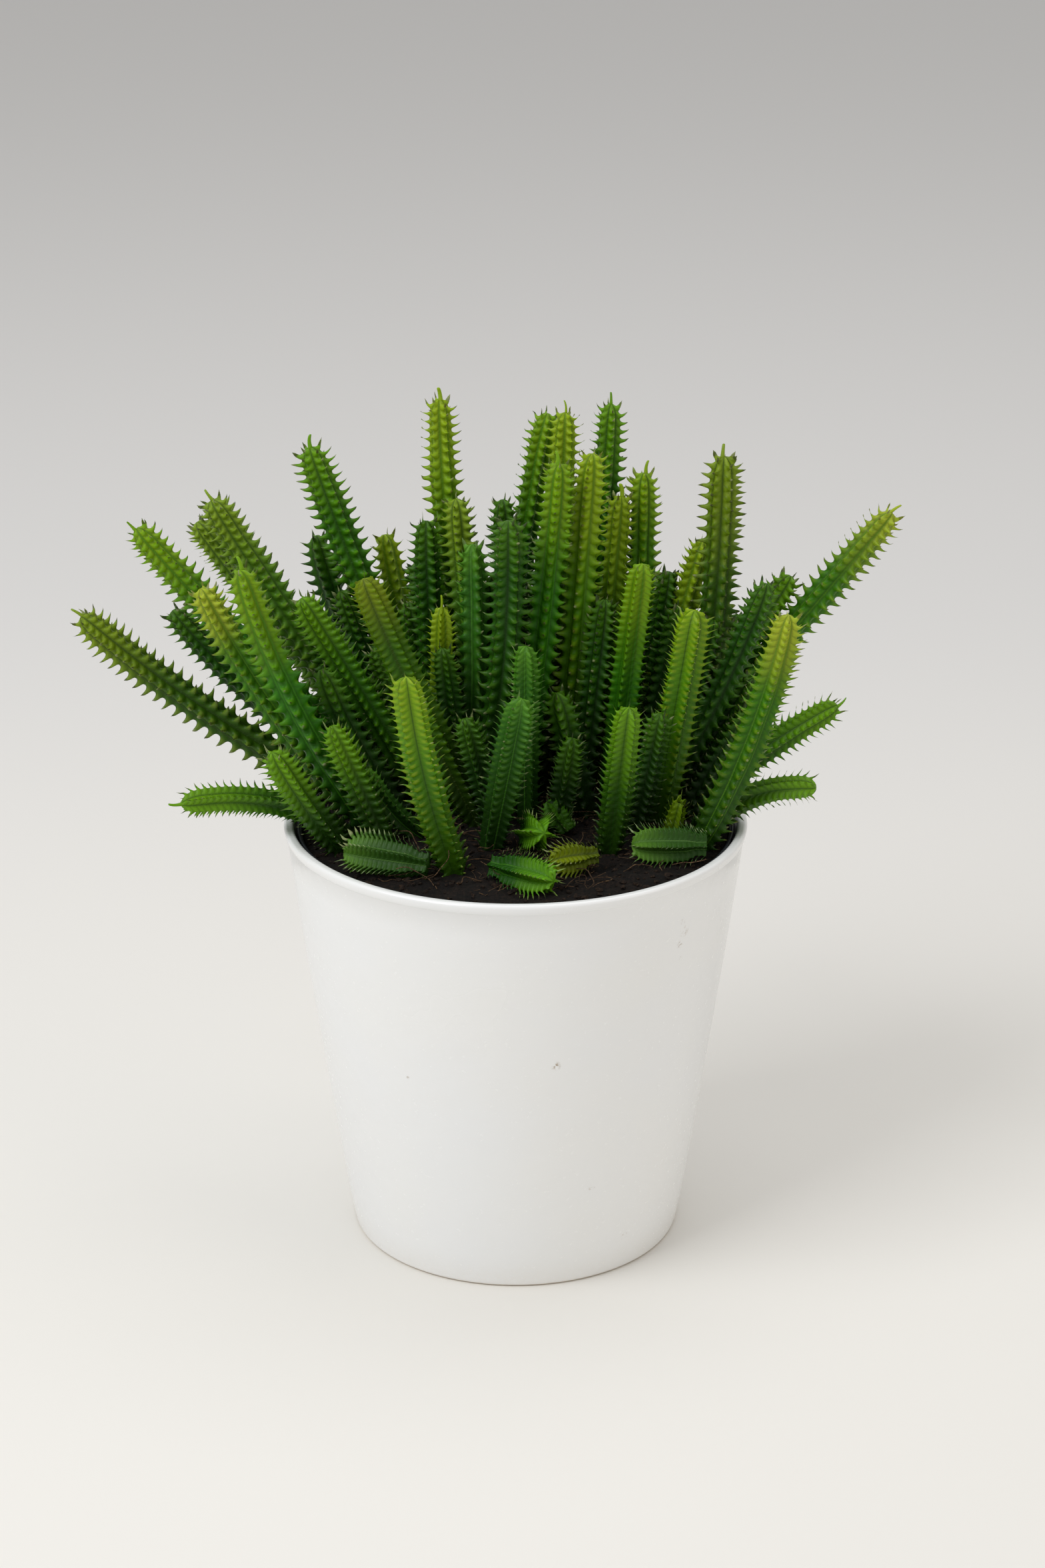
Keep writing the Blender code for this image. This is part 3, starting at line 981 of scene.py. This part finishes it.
# In millimetres: foot, crown with its height above the soil, girth as a share of the model's,
# kind and skin.
INNER = (
    ((-33, 38), (-54, 43, 62), 0.84, "toothed", "deep"),
    ((-27, 25), (-43, 31, 48), 0.84, "dense", "deep"),
    ((-38, 24), (-62, 24, 58), 0.80, "toothed", "deep"),
    ((-16, 12), (-22, 12, 54), 0.80, "dense", "deep"),
    ((-30, 14), (-47, 13, 44), 0.84, "toothed", "deep"),
    ((-17, 44), (-31, 46, 70), 0.84, "toothed", "deep"),
    ((-2, 26), (-7, 27, 72), 0.84, "toothed", "deep"),
    ((10, 32), (9, 31, 84), 0.86, "toothed", "deep"),
    ((20, 20), (27, 22, 66), 0.84, "toothed", "deep"),
    ((36, 27), (50, 27, 62), 0.86, "toothed", "deep"),
    ((46, 20), (60, 22, 60), 0.86, "long_toothed", "deep"),
    ((49, 14), (72, 19, 42), 0.86, "toothed", "deep"),
    ((40, 31), (84, 34, 70), 0.94, "toothed", "leaf"),
    ((37, 33), (47, 38, 70), 0.84, "toothed", "deep"),
    ((51, 9), (71, 12, 34), 0.84, "toothed", "deep"),
    ((48, 27), (68, 32, 58), 0.84, "toothed", "deep"),
    ((-2, 44), (2, 44, 62), 0.84, "toothed", "deep"),
    ((-24, 34), (-33, 38, 60), 0.84, "toothed", "deep"),
    ((12, -3), (17, -6, 32), 0.78, "dense", "deep"),
    ((36, -3), (43, -7, 40), 0.82, "dense", "deep"),
    ((-6, -2), (-15, -6, 38), 0.82, "dense", "deep"),
    ((-38, -16), (-54, -18, 40), 0.84, "dense", "leaf"),
)
INNER_SWELL = (0.8, 1.0, 1.0)   # girth at the foot, the middle and the crown

plain_models = {}
for kind_name in sorted({row[3] for row in INNER}):
    kind = KINDS[kind_name]
    plain_models[kind_name] = model_stem(f"model_plain_{kind_name}", kind, MODEL_LENGTH, rounded=False)
    note_form(plain_models[kind_name], kind, MODEL_LENGTH)

for number, (foot, crown, girth_share, kind_name, skin_name) in enumerate(INNER, start=1):
    low = Vector((foot[0] * MM, foot[1] * MM, soil_top))
    high = Vector((crown[0] * MM, crown[1] * MM, soil_top + crown[2] * MM))
    line = [low.lerp(high, share) for share in (0.0, 0.5, 1.0)]
    radii = [MODEL_RADIUS * girth_share * swell for swell in INNER_SWELL]
    inner = grow(f"inner_stem_{number:02d}", (line, radii), plain_models[kind_name], False)
    hand_over(inner, skins[skin_name], "stem_skin")

# ------------------------------------------------------------------------------------------
# Young shoots. Short, pointed offsets with crowded teeth that lie on the soil between the front
# stems, and a few that have just broken through it.

SHOOT_SWELL = 1.22      # a shoot's flesh is this much fuller than its bare axis
SHOOT_SKINS = {1: "dusty", 2: "dusty", 3: "young", 4: "young", 5: "russet", 6: "blue"}

for number, skin_name in SHOOT_SKINS.items():
    node = f"shoot_{number}"
    line, radii = axis_of(node)
    radii = [radius * SHOOT_SWELL for radius in radii]
    shoot = grow(f"flesh_{node}", (line, radii), models["shoot"], False)
    hand_over(shoot, skins[skin_name], "young_shoot", node)

for model in [*models.values(), *plain_models.values(), horn_model]:
    bpy.data.objects.remove(model)

# ------------------------------------------------------------------------------------------
# Stage. A pale floor, a broad soft light from the upper left, a warm fill from the right, and
# the camera in front, looking a little down on the plant.

FLOOR_SIZE = 12.0
CAMERA_PLACE = (0.0021, -0.9197, 0.4928)
CAMERA_PITCH = 20.8     # degrees down from level
LENS = 75.0
SENSOR = 36.0
SKY = (1.0, 0.99, 0.98, 1.0)
SKY_STRENGTH = 0.55

deselect_all()
bpy.ops.mesh.primitive_plane_add(size=FLOOR_SIZE)
floor = bpy.context.object
floor.name = "floor"
floor_finish, place = begin_finish("pale_floor", {"Roughness": 0.7, "Specular IOR Level": 0.2})
depth = place.node("ShaderNodeSeparateXYZ", None, {0: place}, "Y")
tone = place.mix(depth.fade(0.02, 0.70), opaque(srgb(234, 232, 227)), opaque(srgb(223, 222, 220)))
lay(tone, "Base Color")
floor.data.materials.append(floor_finish)


def hang_light(name, place, aim, size, power, colour):
    """A square soft light of size metres at place, turned towards aim."""
    deselect_all()
    bpy.ops.object.light_add(type="AREA", location=place)
    light = bpy.context.object
    light.name = name
    light.rotation_euler = (Vector(aim) - Vector(place)).to_track_quat("-Z", "Y").to_euler()
    light.data.size = size
    light.data.energy = power
    light.data.color = colour


hang_light("key", (-1.0, -0.7, 1.4), (0, 0, 0.15), 1.0, 15, (0.98, 0.99, 1.0))
hang_light("fill", (1.3, -0.6, 0.7), (0, 0, 0.12), 1.0, 2.5, (1.0, 0.88, 0.72))
hang_light("top", (0.2, 0.4, 1.7), (0, 0, 0.15), 1.2, 6, (0.98, 0.98, 1.0))

world = bpy.data.worlds.new("studio")
world.use_nodes = True
sky = world.node_tree.nodes["Background"]
sky.inputs["Color"].default_value = SKY
sky.inputs["Strength"].default_value = SKY_STRENGTH
bpy.context.scene.world = world
bpy.context.scene.view_settings.view_transform = "Standard"

tilt = (math.radians(90 - CAMERA_PITCH), 0.0, 0.0)
bpy.ops.object.camera_add(location=CAMERA_PLACE, rotation=tilt)
camera = bpy.context.object
camera.data.lens = LENS
camera.data.sensor_width = SENSOR
bpy.context.scene.camera = camera
